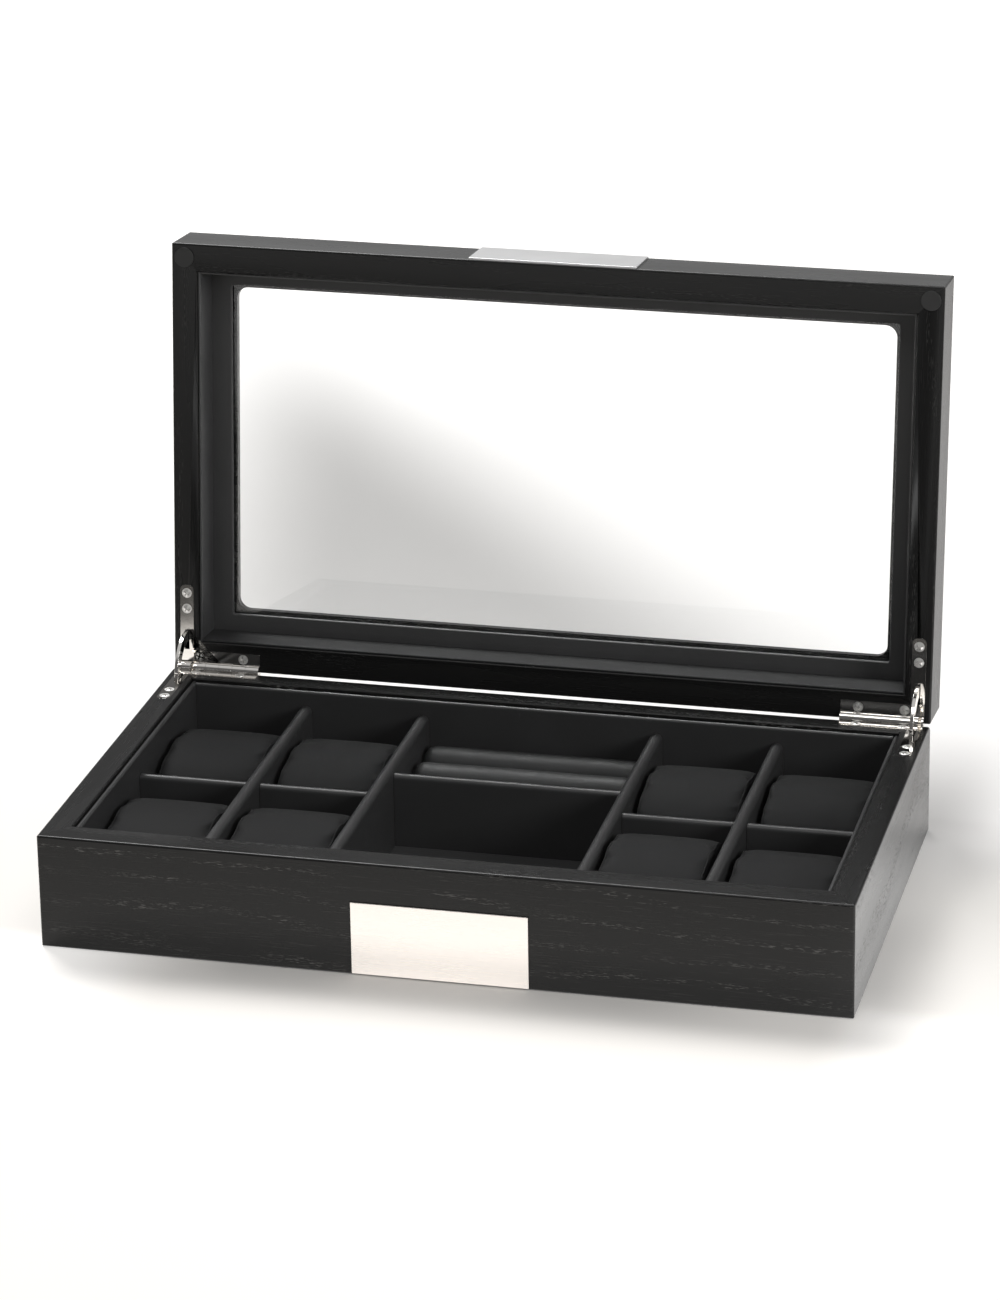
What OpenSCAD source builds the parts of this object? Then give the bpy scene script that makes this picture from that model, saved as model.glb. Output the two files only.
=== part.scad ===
// Watch box with a glazed lid that stands open on two quadrant hinges.
// The base holds eight watch pillows in a lined tray, a bay of ring rolls and an open tray.
// Origin: centre of the underside. X runs left to right, Y front to back, Z up.

/* [Box] */
// Outside width of the box, left to right
box_w = 390; // [350:1:430]
// Outside depth of the box, front to back
box_d = 220.4; // [204:0.2:244]
// Height of the base, up to its rim
base_h = 57; // [53:0.5:66]
// Height of the lid, from its rim to its outer face
lid_h = 30; // [28:0.5:38]
// Thickness of the left and right walls
side_wall_t = 13.2; // [12.4:0.1:15]
// Thickness of the front and rear walls
end_wall_t = 14.2; // [13.4:0.1:17]
// Radius that eases the outer edges
edge_r = 1; // [0.4:0.1:2]
// Bevel along the rear of the base rim, which the open lid turns over
rear_bevel = 4.2; // [3:0.1:5.5]
// Bevel along the inner edges of the two rims
rim_ease = 0.5; // [0.2:0.1:1]
// Angle through which the lid opens
open_angle = 95.9; // [80:0.1:105]

/* [Bottom] */
// Thickness of the felt under the base
felt_t = 1; // [0.6:0.1:2]
// Thickness of the bottom panel
panel_t = 4; // [3:0.1:6]
// Depth of the rebate in the walls that takes the panel
rebate_w = 5; // [3:0.1:7]
// Clearance round the panel and the felt in their rebate
panel_clear = 0.15; // [0.05:0.05:0.5]

/* [Lining] */
// Thickness of the covered boards that line the base
base_lining_t = 2.9; // [2:0.1:4]
// Drop from the base rim to the top of its lining
base_lining_drop = 1.6; // [0.8:0.1:3]
// Thickness of the covered card on the tray floor
floor_lining_t = 1.5; // [1:0.1:3]
// Thickness of the covered card that lines the lid
lid_lining_t = 1.2; // [0.8:0.1:2]
// Drop from the lid rim to the edge of its lining
lid_lining_drop = 1; // [0.5:0.1:2]

/* [Dividers] */
// Width of the middle compartments, between the centre lines of their dividers
centre_w = 120; // [100:1:140]
// Thickness of the long dividers
long_divider_t = 6.4; // [4.5:0.1:8]
// Drop from the base rim to the top of the long dividers
long_divider_drop = 9.2; // [6:0.1:14]
// Thickness of the cross dividers
cross_divider_t = 5; // [3.5:0.1:6.5]
// Drop from the base rim to the top of the cross dividers
cross_divider_drop = 12.6; // [9:0.1:18]
// Distance of the middle cross divider behind the centre of the tray
centre_cross_y = 25.5; // [10:0.5:35]
// Clearance where two dividers are halved over each other
halving_clear = 0.1; // [0.05:0.05:0.3]

/* [Pillows and rolls] */
// Space between a pillow and the dividers at its left and right
pillow_side_gap = 2; // [1:0.1:4]
// Space between a pillow and the dividers in front of it and behind it
pillow_end_gap = 5.2; // [2:0.1:9]
// Height of a pillow
pillow_h = 37.7; // [30:0.1:39]
// Half the height of the oval that a pillow is cut from
pillow_round = 20; // [19.6:0.1:24]
// Length over which the ends of a pillow draw in
pillow_end_l = 4; // [2:0.5:7]
// Extra height of each pillow, from the left: the rear row, then the front row
pillow_plump = [0.7, 0.4, 1.6, 1.4, 1.5, 1.5, 4.6, 1]; // [0:0.1:5]
// Distance by which the front row of pillows sits nearer the middle of the box
front_row_shift = 4; // [0:0.1:4.5]
// Space under the pillows and between the rolls, for their covers
cover_gap = 0.3; // [0.2:0.05:0.6]
// Number of ring rolls
roll_count = 3; // [2:1:4]
// Height of the ring rolls
roll_h = 29.7; // [24:0.1:33]

/* [Lid window] */
// Width of the top frame's rails at the left and right of the window
side_rail_w = 26.5; // [24:0.5:46]
// Width of the top frame's rails in front of and behind the window
end_rail_w = 25.9; // [24:0.1:36]
// Corner radius of the window opening
window_r = 6; // [2:0.5:12]
// Distance by which the inner bezel stands back from the window opening
bezel_setback = 1.6; // [1:0.1:4]
// Depth of the lid, from its rim to the bezel
lid_depth = 21.5; // [18:0.1:22]
// Thickness of the bezel that holds the glass
bezel_t = 2.5; // [1.5:0.1:3]
// Thickness of the glass
glass_t = 2; // [1.5:0.1:2.6]
// Width of glass held under the top frame
glass_lap = 7; // [4:0.5:9]
// Clearance round the glass in its rebate
glass_clear = 0.4; // [0.1:0.1:0.8]

/* [Bumper pads] */
// Gap between the two rims when the lid is closed
rim_gap = 0.8; // [0.5:0.1:1.2]
// Diameter of the bumper pads on the lid rim
pad_d = 10; // [6:0.5:12]
// Gap left between the pads and the base rim
pad_gap = 0.05; // [0.02:0.01:0.2]

/* [Metal plates] */
// Width of the plates on the base and the lid
plate_w = 85; // [50:0.5:120]
// Height of the base plate
base_plate_h = 36.3; // [20:0.1:45]
// Height of the base plate's lower edge above the underside
base_plate_foot = 0.8; // [0.5:0.1:8]
// Distance of the lid plate from the lid's two edges
lid_plate_margin = 0.9; // [0.5:0.1:6]
// Thickness of the plates
plate_t = 1.3; // [0.8:0.1:2]
// Depth to which the plates are let into the wood
plate_inset = 0.4; // [0.2:0.1:0.7]
// Clearance round the plates in their recesses
plate_clear = 0.1; // [0.05:0.05:0.3]

/* [Hinges] */
// Distance of the hinge axis in from the rear face
hinge_inset = 0.7; // [0.4:0.1:1.5]
// Distance of the hinge from the side face
hinge_edge = 3.2; // [2.6:0.1:4]
// Width of the leg that runs along the side wall
side_leg_w = 7; // [6:0.1:7.6]
// Length of the side leg, from the hinge axis
side_leg_l = 43; // [38:0.5:50]
// Width of the leg along the rear wall, from the hinge axis
rear_leg_w = 8.8; // [7.4:0.1:10]
// Thickness of a leaf
leaf_t = 1.6; // [1.2:0.1:2]
// Corner radius at the end of a leg
leg_end_r = 2.6; // [1:0.1:3]
// Clearance round a leaf in its recess
leaf_clear = 0.1; // [0.05:0.05:0.3]
// Number of knuckles in a barrel
knuckle_count = 6; // [4:2:8]
// Length of one knuckle
knuckle_l = 7; // [5.5:0.1:8]
// Radius of the barrel
barrel_r = 3; // [2.6:0.1:3.4]
// Clearance round the turning knuckles
barrel_clear = 0.35; // [0.2:0.05:0.6]
// Radius of the hinge pin
pin_r = 1.4; // [1:0.1:1.6]
// Running clearance of the pin in its bore
pin_clear = 0.05; // [0.02:0.01:0.1]
// End clearance of each knuckle
knuckle_clear = 0.05; // [0.03:0.01:0.2]

/* [Hinge arms] */
// Radius of the middle of the curved arm, about the hinge axis
arm_r = 16.4; // [15:0.1:18]
// Width of the arm, across its curve
arm_w = 5.5; // [4:0.1:6]
// Thickness of the arm
arm_t = 1.8; // [1.2:0.1:2.2]
// Clearance of the arm in its slot, on each side
arm_clear = 0.3; // [0.2:0.05:0.5]
// Angle by which an arm's stop pin lies behind its leaf when the lid is open
stop_angle = 11.5; // [11.5:0.1:14]
// Radius of the stop pins
stop_r = 1; // [0.8:0.05:1]
// Length of the stop pins
stop_l = 4; // [3:0.1:4.4]
// Clearance of the stop pins in their pocket
pocket_clear = 0.5; // [0.3:0.05:0.8]

/* [Hinge screws] */
// Distance of the first side leg screw from the end of its leg
screw_end = 4.2; // [3.4:0.1:6]
// Spacing of the two side leg screws
screw_pitch = 8.2; // [6:0.1:9]
// Distance of the outer rear leg screw from the hinge's outer edge
rear_screw_x1 = 9.9; // [9.7:0.1:12]
// Distance of the inner rear leg screw from the hinge's outer edge
rear_screw_x2 = 33.2; // [20:0.1:37]
// Distance of the rear leg screws from the hinge axis
rear_screw_y = 5.7; // [5.5:0.1:6.5]
// Radius of a screw head
screw_head_r = 2.5; // [1.8:0.1:2.6]
// Depth of a screw's countersink
screw_head_t = 1.5; // [1:0.1:1.5]
// Radius of a screw's shank
screw_r = 1.2; // [0.8:0.1:1.4]
// Length of a screw
screw_l = 10; // [7:0.5:12]
// Width of the cross slot in a screw head
cross_slot_w = 0.7; // [0.4:0.1:1]
// Depth of the cross slot in a screw head
cross_slot_d = 0.6; // [0.3:0.1:0.9]
// Clearance round a screw in its hole
screw_clear = 0.05; // [0.02:0.01:0.1]

/* [Hidden] */

wood = "#1c1b1a";
leatherette = "#26262a";
steel = "#b9bbbd";
$fn = 64;
eps = 0.01;          // overlap of cuts past a face
reach = 2 * box_w;   // longer than the box in every direction

half_w = box_w / 2;
half_d = box_d / 2;
inner_half_w = half_w - side_wall_t;
inner_half_d = half_d - end_wall_t;

// hinge axis, and the closed lid's two faces
axis_y = half_d - hinge_inset;
axis_z = base_h + rim_gap / 2;
lid_rim_z = base_h + rim_gap;
lid_top_z = lid_rim_z + lid_h;
bezel_z = lid_rim_z + lid_depth;
frame_z = bezel_z + bezel_t;

// tray inside the linings
panel_top_z = felt_t + panel_t;
tray_floor_z = panel_top_z + floor_lining_t;
tray_half_w = inner_half_w - base_lining_t;
tray_half_d = inner_half_d - base_lining_t;
long_top_z = base_h - long_divider_drop;
cross_top_z = base_h - cross_divider_drop;

// columns of compartments, counted from the left, in equal widths beside the middle one
inner_divider_x = centre_w / 2;
column_w = (tray_half_w - inner_divider_x - 1.5 * long_divider_t) / 2;
outer_divider_x = inner_divider_x + long_divider_t + column_w;
divider_x = [-outer_divider_x, -inner_divider_x, inner_divider_x, outer_divider_x];
outer_column_x = outer_divider_x + long_divider_t / 2 + column_w / 2;
inner_column_x = inner_divider_x + long_divider_t / 2 + column_w / 2;
column_x = [-outer_column_x, -inner_column_x, inner_column_x, outer_column_x];
row_d = tray_half_d - cross_divider_t / 2;
row_y = cross_divider_t / 2 + row_d / 2;
pillow_w = column_w - 2 * pillow_side_gap;
pillow_d = row_d - 2 * pillow_end_gap;
side_cross_l = tray_half_w - inner_divider_x - long_divider_t / 2;

// bay of the ring rolls, behind the middle cross divider
bay_w = centre_w - long_divider_t;
bay_front_y = centre_cross_y + cross_divider_t / 2;
roll_pitch = (tray_half_d - bay_front_y) / roll_count;

// window
window_w = box_w - 2 * side_rail_w;
window_d = box_d - 2 * end_rail_w;
glass_w = window_w + 2 * glass_lap;
glass_d = window_d + 2 * glass_lap;

// hinges
hinge_x = half_w - hinge_edge;
leg_x = hinge_x - side_leg_w / 2;
barrel_l = knuckle_count * knuckle_l;
arm_outer_r = arm_r + arm_w / 2;
slot_outer_r = arm_outer_r + arm_clear;
slot_inner_r = rear_leg_w + 0.4;
pocket_r = arm_outer_r + pocket_clear;
pocket_w = stop_l + 2 * pocket_clear;
pocket_y = arm_r * cos(open_angle / 2 + stop_angle) - arm_w / 2 - pocket_clear;
screw_spots = [
    [leg_x, axis_y - side_leg_l + screw_end],
    [leg_x, axis_y - side_leg_l + screw_end + screw_pitch],
    [hinge_x - rear_screw_x1, axis_y - rear_screw_y],
    [hinge_x - rear_screw_x2, axis_y - rear_screw_y]
];

// ---- helpers ----

module rounded_rect(w, d, r) {
    union() {
        square([w - 2 * r, d], center = true);
        square([w, d - 2 * r], center = true);
        for (sx = [-1, 1], sy = [-1, 1])
            translate([sx * (w / 2 - r), sy * (d / 2 - r)]) circle(r = r);
    }
}

// block with all its edges eased, from z0 to z1
module eased_block(w, d, z0, z1, r) {
    h = z1 - z0;
    translate([0, 0, (z0 + z1) / 2])
        intersection() {
            linear_extrude(h, center = true) rounded_rect(w, d, r);
            rotate([90, 0, 0]) linear_extrude(reach, center = true) rounded_rect(w, h, r);
            rotate([90, 0, 90]) linear_extrude(reach, center = true) rounded_rect(d, h, r);
        }
}

module slab(half_x, half_y, z0, z1) {
    translate([-half_x, -half_y, z0]) cube([2 * half_x, 2 * half_y, z1 - z0]);
}

// quarter of the plan that belongs to one mitred wall: turn 0 front, 90 right, 180 rear, 270 left
module mitre_zone(turn) {
    corner_w = half_w + eps;
    corner_d = half_d + eps;
    front = [[-corner_w, -corner_d], [corner_w, -corner_d], [inner_half_w, -inner_half_d],
             [-inner_half_w, -inner_half_d]];
    right = [[corner_w, -corner_d], [corner_w, corner_d], [inner_half_w, inner_half_d],
             [inner_half_w, -inner_half_d]];
    points = (turn == 0 || turn == 180) ? front : right;
    flip = (turn == 0 || turn == 90) ? 0 : 180;
    rotate([0, 0, flip]) translate([0, 0, -eps]) linear_extrude(lid_top_z + 1) polygon(points);
}

// board with a rounded top edge, centred on X, standing on z0
module topped_board(l, t, z0, z1) {
    translate([0, 0, z0])
        rotate([90, 0, 90])
            linear_extrude(l, center = true)
                union() {
                    translate([-t / 2, 0]) square([t, z1 - z0 - t / 2]);
                    translate([0, z1 - z0 - t / 2]) circle(d = t);
                }
}

// turns the closed lid's parts to where the open lid holds them
module opened(angle = open_angle) {
    translate([0, axis_y, axis_z]) rotate([-angle, 0, 0]) translate([0, -axis_y, -axis_z]) children();
}

// swaps base and lid about the plane of the hinge axis
module lid_side() {
    translate([0, 0, 2 * axis_z]) mirror([0, 0, 1]) children();
}

module both_sides() {
    children();
    mirror([1, 0, 0]) children();
}

// cylinder on the hinge axis
module axis_rod(r, x0, x1) {
    translate([x0, axis_y, axis_z]) rotate([0, 90, 0]) cylinder(r = r, h = x1 - x0);
}

// ---- hinges, drawn for the right side of the closed box ----

// plan of the two legs; grow widens it into the recess that takes it
module leaf_plan(grow) {
    r = leg_end_r + grow;
    front_y = axis_y - side_leg_l - grow;
    inner_x = hinge_x - barrel_l - grow;
    translate([hinge_x - side_leg_w - grow, front_y + r])
        square([side_leg_w + 2 * grow, axis_y - front_y - r]);
    for (x = [hinge_x - side_leg_w - grow + r, hinge_x + grow - r])
        translate([x, front_y + r]) circle(r = r);
    translate([hinge_x - side_leg_w - grow + r, front_y]) square([side_leg_w + 2 * grow - 2 * r, r]);
    translate([inner_x, axis_y - rear_leg_w - grow]) square([barrel_l + 2 * grow, rear_leg_w + grow]);
}

module screw() {
    tip = 2 * screw_r;
    difference() {
        rotate_extrude()
            polygon([[0, 0], [screw_head_r, 0], [screw_head_r, -0.2], [screw_r, -screw_head_t],
                     [screw_r, -screw_l + tip], [0, -screw_l]]);
        for (turn = [0, 90])
            rotate([0, 0, turn])
                translate([-screw_head_r * 0.7, -cross_slot_w / 2, -cross_slot_d])
                    cube([screw_head_r * 1.4, cross_slot_w, cross_slot_d + eps]);
    }
}

// hole for a screw, through the leaf and into the wood
module screw_hole() {
    grow = screw_clear;
    rotate_extrude()
        polygon([[0, eps], [screw_head_r + grow, eps], [screw_head_r + grow, -0.2 - grow],
                 [screw_r + grow, -screw_head_t - grow], [screw_r + grow, -screw_l - grow],
                 [0, -screw_l - grow]]);
}

// the four screws of one leaf, or their holes
module at_screws() {
    for (spot = screw_spots)
        translate([spot[0], spot[1], base_h]) children();
}

// parity 0 is the base leaf's set of knuckles, 1 the lid leaf's
module knuckles(parity, r, grow) {
    for (k = [parity : 2 : knuckle_count - 1])
        axis_rod(r, hinge_x - (k + 1) * knuckle_l - grow, hinge_x - k * knuckle_l + grow);
}

module hinge_leaf(parity) {
    color(steel)
        difference() {
            union() {
                translate([0, 0, base_h - leaf_t]) linear_extrude(leaf_t) leaf_plan(0);
                knuckles(parity, barrel_r, -knuckle_clear);
            }
            knuckles(1 - parity, barrel_r + barrel_clear, knuckle_clear);
            axis_rod(pin_r + pin_clear, hinge_x - barrel_l - 1, hinge_x + 1);
            translate([leg_x - arm_t / 2 - arm_clear, axis_y - slot_outer_r, base_h - leaf_t - 1])
                cube([arm_t + 2 * arm_clear, slot_outer_r - slot_inner_r, leaf_t + 2]);
            at_screws() screw_hole();
        }
}

// wood taken out of the base for one hinge
module hinge_cuts() {
    translate([0, 0, base_h - leaf_t]) linear_extrude(leaf_t + 1) leaf_plan(leaf_clear);
    axis_rod(barrel_r + barrel_clear, hinge_x - barrel_l - knuckle_clear - leaf_clear, hinge_x + leaf_clear);
    intersection() {
        axis_rod(pocket_r, leg_x - pocket_w / 2, leg_x + pocket_w / 2);
        translate([0, axis_y - pocket_y - reach, axis_z - reach]) cube([half_w, reach, reach]);
    }
    at_screws() screw_hole();
}

// the screws of the left and right leaves
module leaf_screws() {
    color(steel) both_sides() at_screws() screw();
}

module hinge_pin() {
    color(steel) axis_rod(pin_r, hinge_x - barrel_l + knuckle_clear, hinge_x - knuckle_clear);
}

// curved arm that ties the two leaves, with a stop pin at each end
module hinge_arm() {
    first = -stop_angle;
    last = open_angle + stop_angle;
    wedge = [for (a = [first : (last - first) / 12 : last + eps]) 2 * arm_r * [-cos(a), sin(a)]];
    color(steel)
        translate([leg_x, axis_y, axis_z])
            rotate([90, 0, 90])
                union() {
                    linear_extrude(arm_t, center = true)
                        union() {
                            intersection() {
                                difference() {
                                    circle(r = arm_outer_r);
                                    circle(r = arm_outer_r - arm_w);
                                }
                                polygon(concat([[0, 0]], wedge));
                            }
                            for (a = [first, last])
                                translate(arm_r * [-cos(a), sin(a)]) circle(d = arm_w);
                        }
                    for (a = [first, last])
                        translate([-arm_r * cos(a), arm_r * sin(a), -stop_l / 2])
                            cylinder(r = stop_r, h = stop_l);
                }
}

// bevels along the inner edges of a rim at height z
module rim_bevels(z) {
    for (s = [-1, 1]) {
        translate([s * inner_half_w, 0, z]) rotate([0, 45, 0])
            cube([rim_ease * sqrt(2), 2 * (inner_half_d + rim_ease), rim_ease * sqrt(2)], center = true);
        translate([0, s * inner_half_d, z]) rotate([45, 0, 0])
            cube([2 * (inner_half_w + rim_ease), rim_ease * sqrt(2), rim_ease * sqrt(2)], center = true);
    }
}

// ---- base ----

module base_shell() {
    difference() {
        eased_block(box_w, box_d, 0, base_h, edge_r);
        slab(inner_half_w, inner_half_d, -1, base_h + 1);
        slab(inner_half_w + rebate_w, inner_half_d + rebate_w, -1, panel_top_z);
        translate([0, half_d, base_h]) rotate([45, 0, 0])
            cube([reach, rear_bevel * sqrt(2), rear_bevel * sqrt(2)], center = true);
        rim_bevels(base_h);
        both_sides() hinge_cuts();
        translate([-plate_w / 2 - plate_clear, -half_d - 1, base_plate_foot - plate_clear])
            cube([plate_w + 2 * plate_clear, 1 + plate_inset, base_plate_h + 2 * plate_clear]);
    }
}

module base_wall(turn) {
    color(wood) intersection() {
        base_shell();
        mitre_zone(turn);
    }
}

module base_panel() {
    color("#3a332c") slab(inner_half_w + rebate_w - panel_clear, inner_half_d + rebate_w - panel_clear,
                          felt_t, panel_top_z);
}

module base_felt() {
    color("#202022") slab(inner_half_w + rebate_w - panel_clear, inner_half_d + rebate_w - panel_clear,
                          0, felt_t);
}

// covered board along the front or rear wall
module base_lining_end(side) {
    color(leatherette) translate([0, side * (inner_half_d - base_lining_t / 2), 0])
        topped_board(2 * tray_half_w, base_lining_t, panel_top_z, base_h - base_lining_drop);
}

// covered board along the left or right wall
module base_lining_side(side) {
    color(leatherette) translate([side * (inner_half_w - base_lining_t / 2), 0, 0]) rotate([0, 0, 90])
        topped_board(2 * inner_half_d, base_lining_t, panel_top_z, base_h - base_lining_drop);
}

module base_lining_floor() {
    color(leatherette) slab(tray_half_w, tray_half_d, panel_top_z, tray_floor_z);
}

// dividers; the long ones are notched from below, the cross ones from above
halving_z = (tray_floor_z + cross_top_z) / 2;

module long_divider(i) {
    outer = i == 0 || i == 3;
    color(leatherette)
        difference() {
            translate([divider_x[i], 0, 0]) rotate([0, 0, 90])
                topped_board(2 * tray_half_d, long_divider_t, tray_floor_z, long_top_z);
            if (outer)
                translate([divider_x[i] - long_divider_t, -cross_divider_t / 2 - halving_clear, 0])
                    cube([2 * long_divider_t, cross_divider_t + 2 * halving_clear, halving_z]);
        }
}

module side_cross_divider(side) {
    middle_x = side * (inner_divider_x + long_divider_t / 2 + side_cross_l / 2);
    lap_x = side * outer_divider_x;
    color(leatherette)
        difference() {
            translate([middle_x, 0, 0])
                topped_board(side_cross_l, cross_divider_t, tray_floor_z, cross_top_z);
            translate([lap_x - long_divider_t / 2 - halving_clear, -cross_divider_t, halving_z])
                cube([long_divider_t + 2 * halving_clear, 2 * cross_divider_t, base_h]);
        }
}

module middle_cross_divider() {
    color(leatherette) translate([0, centre_cross_y, 0])
        topped_board(bay_w, cross_divider_t, tray_floor_z, cross_top_z);
}

// ---- pillows and rolls ----

// oval with a flat underside, h high in all; the origin is the middle of the oval
module pillow_section(h, half_h) {
    oval = [for (a = [0 : 6 : 354]) [pillow_d / 2 * cos(a), half_h * sin(a)]];
    intersection() {
        polygon(oval);
        translate([-pillow_d, half_h - h]) square([2 * pillow_d, h]);
    }
}

// column 0 to 3 from the left; row 0 rear, 1 front
module pillow(column, row) {
    plump = pillow_plump[column + 4 * row];
    h = pillow_h + plump;
    half_h = pillow_round + plump / 2;
    straight = pillow_w - 2 * pillow_end_l;
    middle_y = row == 0 ? row_y : front_row_shift - row_y;
    color(leatherette)
        translate([column_x[column], middle_y, tray_floor_z + cover_gap + h - half_h])
            rotate([90, 0, 90])
                union() {
                    linear_extrude(straight, center = true) pillow_section(h, half_h);
                    for (end = [0, 1])
                        mirror([0, 0, end])
                            translate([0, 0, straight / 2])
                                linear_extrude(pillow_end_l, scale = 0.88) pillow_section(h, half_h);
                }
}

// padded rolls that hold rings between them
module ring_rolls() {
    roll_t = roll_pitch - cover_gap;
    color(leatherette)
        for (k = [0 : roll_count - 1])
            translate([0, bay_front_y + (k + 0.5) * roll_pitch, 0])
                topped_board(bay_w - 2 * cover_gap, roll_t, tray_floor_z, tray_floor_z + roll_h);
}

// ---- metal plates ----

module base_plate() {
    color(steel) translate([-plate_w / 2, -half_d + plate_inset - plate_t, base_plate_foot])
        cube([plate_w, plate_t, base_plate_h]);
}

module lid_plate() {
    color(steel) translate([-plate_w / 2, -half_d + plate_inset - plate_t, lid_rim_z + lid_plate_margin])
        cube([plate_w, plate_t, lid_h - 2 * lid_plate_margin]);
}

// ---- lid, drawn closed ----

module lid_shell() {
    difference() {
        eased_block(box_w, box_d, lid_rim_z, lid_top_z, edge_r);
        slab(inner_half_w, inner_half_d, lid_rim_z - 1, frame_z);
        slab(glass_w / 2 + glass_clear, glass_d / 2 + glass_clear, frame_z - eps, frame_z + glass_t);
        linear_extrude(lid_top_z + 1) rounded_rect(window_w, window_d, window_r);
        rim_bevels(lid_rim_z);
        both_sides() lid_side() hinge_cuts();
        translate([-plate_w / 2 - plate_clear, -half_d - 1, lid_rim_z + lid_plate_margin - plate_clear])
            cube([plate_w + 2 * plate_clear, 1 + plate_inset, lid_h - 2 * (lid_plate_margin - plate_clear)]);
    }
}

module lid_wall(turn) {
    color(wood) intersection() {
        lid_shell();
        mitre_zone(turn);
        slab(reach, reach, 0, frame_z);
    }
}

module lid_top_frame() {
    color(wood) intersection() {
        lid_shell();
        slab(reach, reach, frame_z, lid_top_z + 1);
    }
}

module lid_lining_end(side) {
    color(leatherette) lid_side()
        translate([0, side * (inner_half_d - lid_lining_t / 2), 0])
            topped_board(2 * (inner_half_w - lid_lining_t), lid_lining_t,
                         base_h - lid_depth, base_h - lid_lining_drop);
}

module lid_lining_side(side) {
    color(leatherette) lid_side()
        translate([side * (inner_half_w - lid_lining_t / 2), 0, 0]) rotate([0, 0, 90])
            topped_board(2 * inner_half_d, lid_lining_t, base_h - lid_depth, base_h - lid_lining_drop);
}

module window_bezel() {
    color(leatherette)
        difference() {
            slab(inner_half_w, inner_half_d, bezel_z, frame_z);
            slab(window_w / 2 + bezel_setback, window_d / 2 + bezel_setback, bezel_z - 1, frame_z + 1);
        }
}

module window_glass() {
    color("#dfe8ea", 0.35) slab(glass_w / 2, glass_d / 2, frame_z, frame_z + glass_t);
}

module bumper_pads() {
    color("#303032") both_sides()
        translate([half_w - side_wall_t / 2, -half_d + end_wall_t / 2, base_h + pad_gap])
            cylinder(d = pad_d, h = rim_gap - pad_gap);
}

base_wall(0);  // base_front_wall
base_wall(180);  // base_rear_wall
base_wall(270);  // base_left_wall
base_wall(90);  // base_right_wall
base_panel();
base_felt();
base_lining_end(-1);  // base_lining_front
base_lining_end(1);  // base_lining_rear
base_lining_side(-1);  // base_lining_left
base_lining_side(1);  // base_lining_right
base_lining_floor();
long_divider(0);  // long_divider_1
long_divider(1);  // long_divider_2
long_divider(2);  // long_divider_3
long_divider(3);  // long_divider_4
side_cross_divider(-1);  // cross_divider_left
middle_cross_divider();  // cross_divider_middle
side_cross_divider(1);  // cross_divider_right
pillow(0, 0);  // pillow_rear_1
pillow(1, 0);  // pillow_rear_2
pillow(2, 0);  // pillow_rear_3
pillow(3, 0);  // pillow_rear_4
pillow(0, 1);  // pillow_front_1
pillow(1, 1);  // pillow_front_2
pillow(2, 1);  // pillow_front_3
pillow(3, 1);  // pillow_front_4
ring_rolls();
base_plate();
mirror([1, 0, 0]) hinge_leaf(0);  // hinge_left_base_leaf
hinge_leaf(0);  // hinge_right_base_leaf
mirror([1, 0, 0]) hinge_pin();  // hinge_left_pin
hinge_pin();  // hinge_right_pin
leaf_screws();  // hinge_base_screws
mirror([1, 0, 0]) hinge_arm();  // hinge_left_arm
hinge_arm();  // hinge_right_arm
opened() lid_wall(0);  // lid_front_wall
opened() lid_wall(180);  // lid_rear_wall
opened() lid_wall(270);  // lid_left_wall
opened() lid_wall(90);  // lid_right_wall
opened() lid_top_frame();
opened() lid_lining_end(-1);  // lid_lining_front
opened() lid_lining_end(1);  // lid_lining_rear
opened() lid_lining_side(-1);  // lid_lining_left
opened() lid_lining_side(1);  // lid_lining_right
opened() window_bezel();
opened() window_glass();
opened() lid_plate();
opened() bumper_pads();
opened() mirror([1, 0, 0]) lid_side() hinge_leaf(1);  // hinge_left_lid_leaf
opened() lid_side() hinge_leaf(1);  // hinge_right_lid_leaf
opened() lid_side() leaf_screws();  // hinge_lid_screws
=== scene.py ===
import math

import bmesh
import bpy
from mathutils.bvhtree import BVHTree
from mathutils import Matrix, Vector, noise


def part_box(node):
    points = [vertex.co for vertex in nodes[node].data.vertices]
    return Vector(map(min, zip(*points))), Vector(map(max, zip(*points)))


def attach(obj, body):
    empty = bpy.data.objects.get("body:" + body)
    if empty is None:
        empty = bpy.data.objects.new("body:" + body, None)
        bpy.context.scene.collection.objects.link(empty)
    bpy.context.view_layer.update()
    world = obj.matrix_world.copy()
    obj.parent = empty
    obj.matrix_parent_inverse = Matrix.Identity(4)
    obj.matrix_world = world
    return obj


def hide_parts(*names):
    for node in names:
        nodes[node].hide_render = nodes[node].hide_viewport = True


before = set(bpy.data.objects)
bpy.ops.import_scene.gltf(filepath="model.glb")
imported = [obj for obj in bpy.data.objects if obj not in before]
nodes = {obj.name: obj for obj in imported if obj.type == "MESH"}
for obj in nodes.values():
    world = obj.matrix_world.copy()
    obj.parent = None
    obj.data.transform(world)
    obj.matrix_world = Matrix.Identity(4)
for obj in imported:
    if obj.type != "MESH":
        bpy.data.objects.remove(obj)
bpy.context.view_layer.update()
scene = bpy.context.scene
mm = 0.001
print("frame loaded:", len(nodes), "nodes")

# places on the box that more than one piece needs, in mm
box = {
    "rim": 57.0,            # top of the base
    "lidRim": 57.8,         # rim of the lid when shut
    "hingeY": 109.5,
    "hingeZ": 57.4,
    "lidOpen": 95.9,        # degrees
}


# turns what is drawn on the shut lid to where the open lid holds it
def openedMatrix():
    pivot = Vector((0, box["hingeY"], box["hingeZ"])) * mm
    turn = Matrix.Rotation(math.radians(-box["lidOpen"]), 4, "X")
    return Matrix.Translation(pivot) @ turn @ Matrix.Translation(-pivot)


lidTurn = openedMatrix()
lidAlong = lidTurn.to_3x3() @ Vector((0, 1, 0))     # front to back on the shut lid

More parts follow.
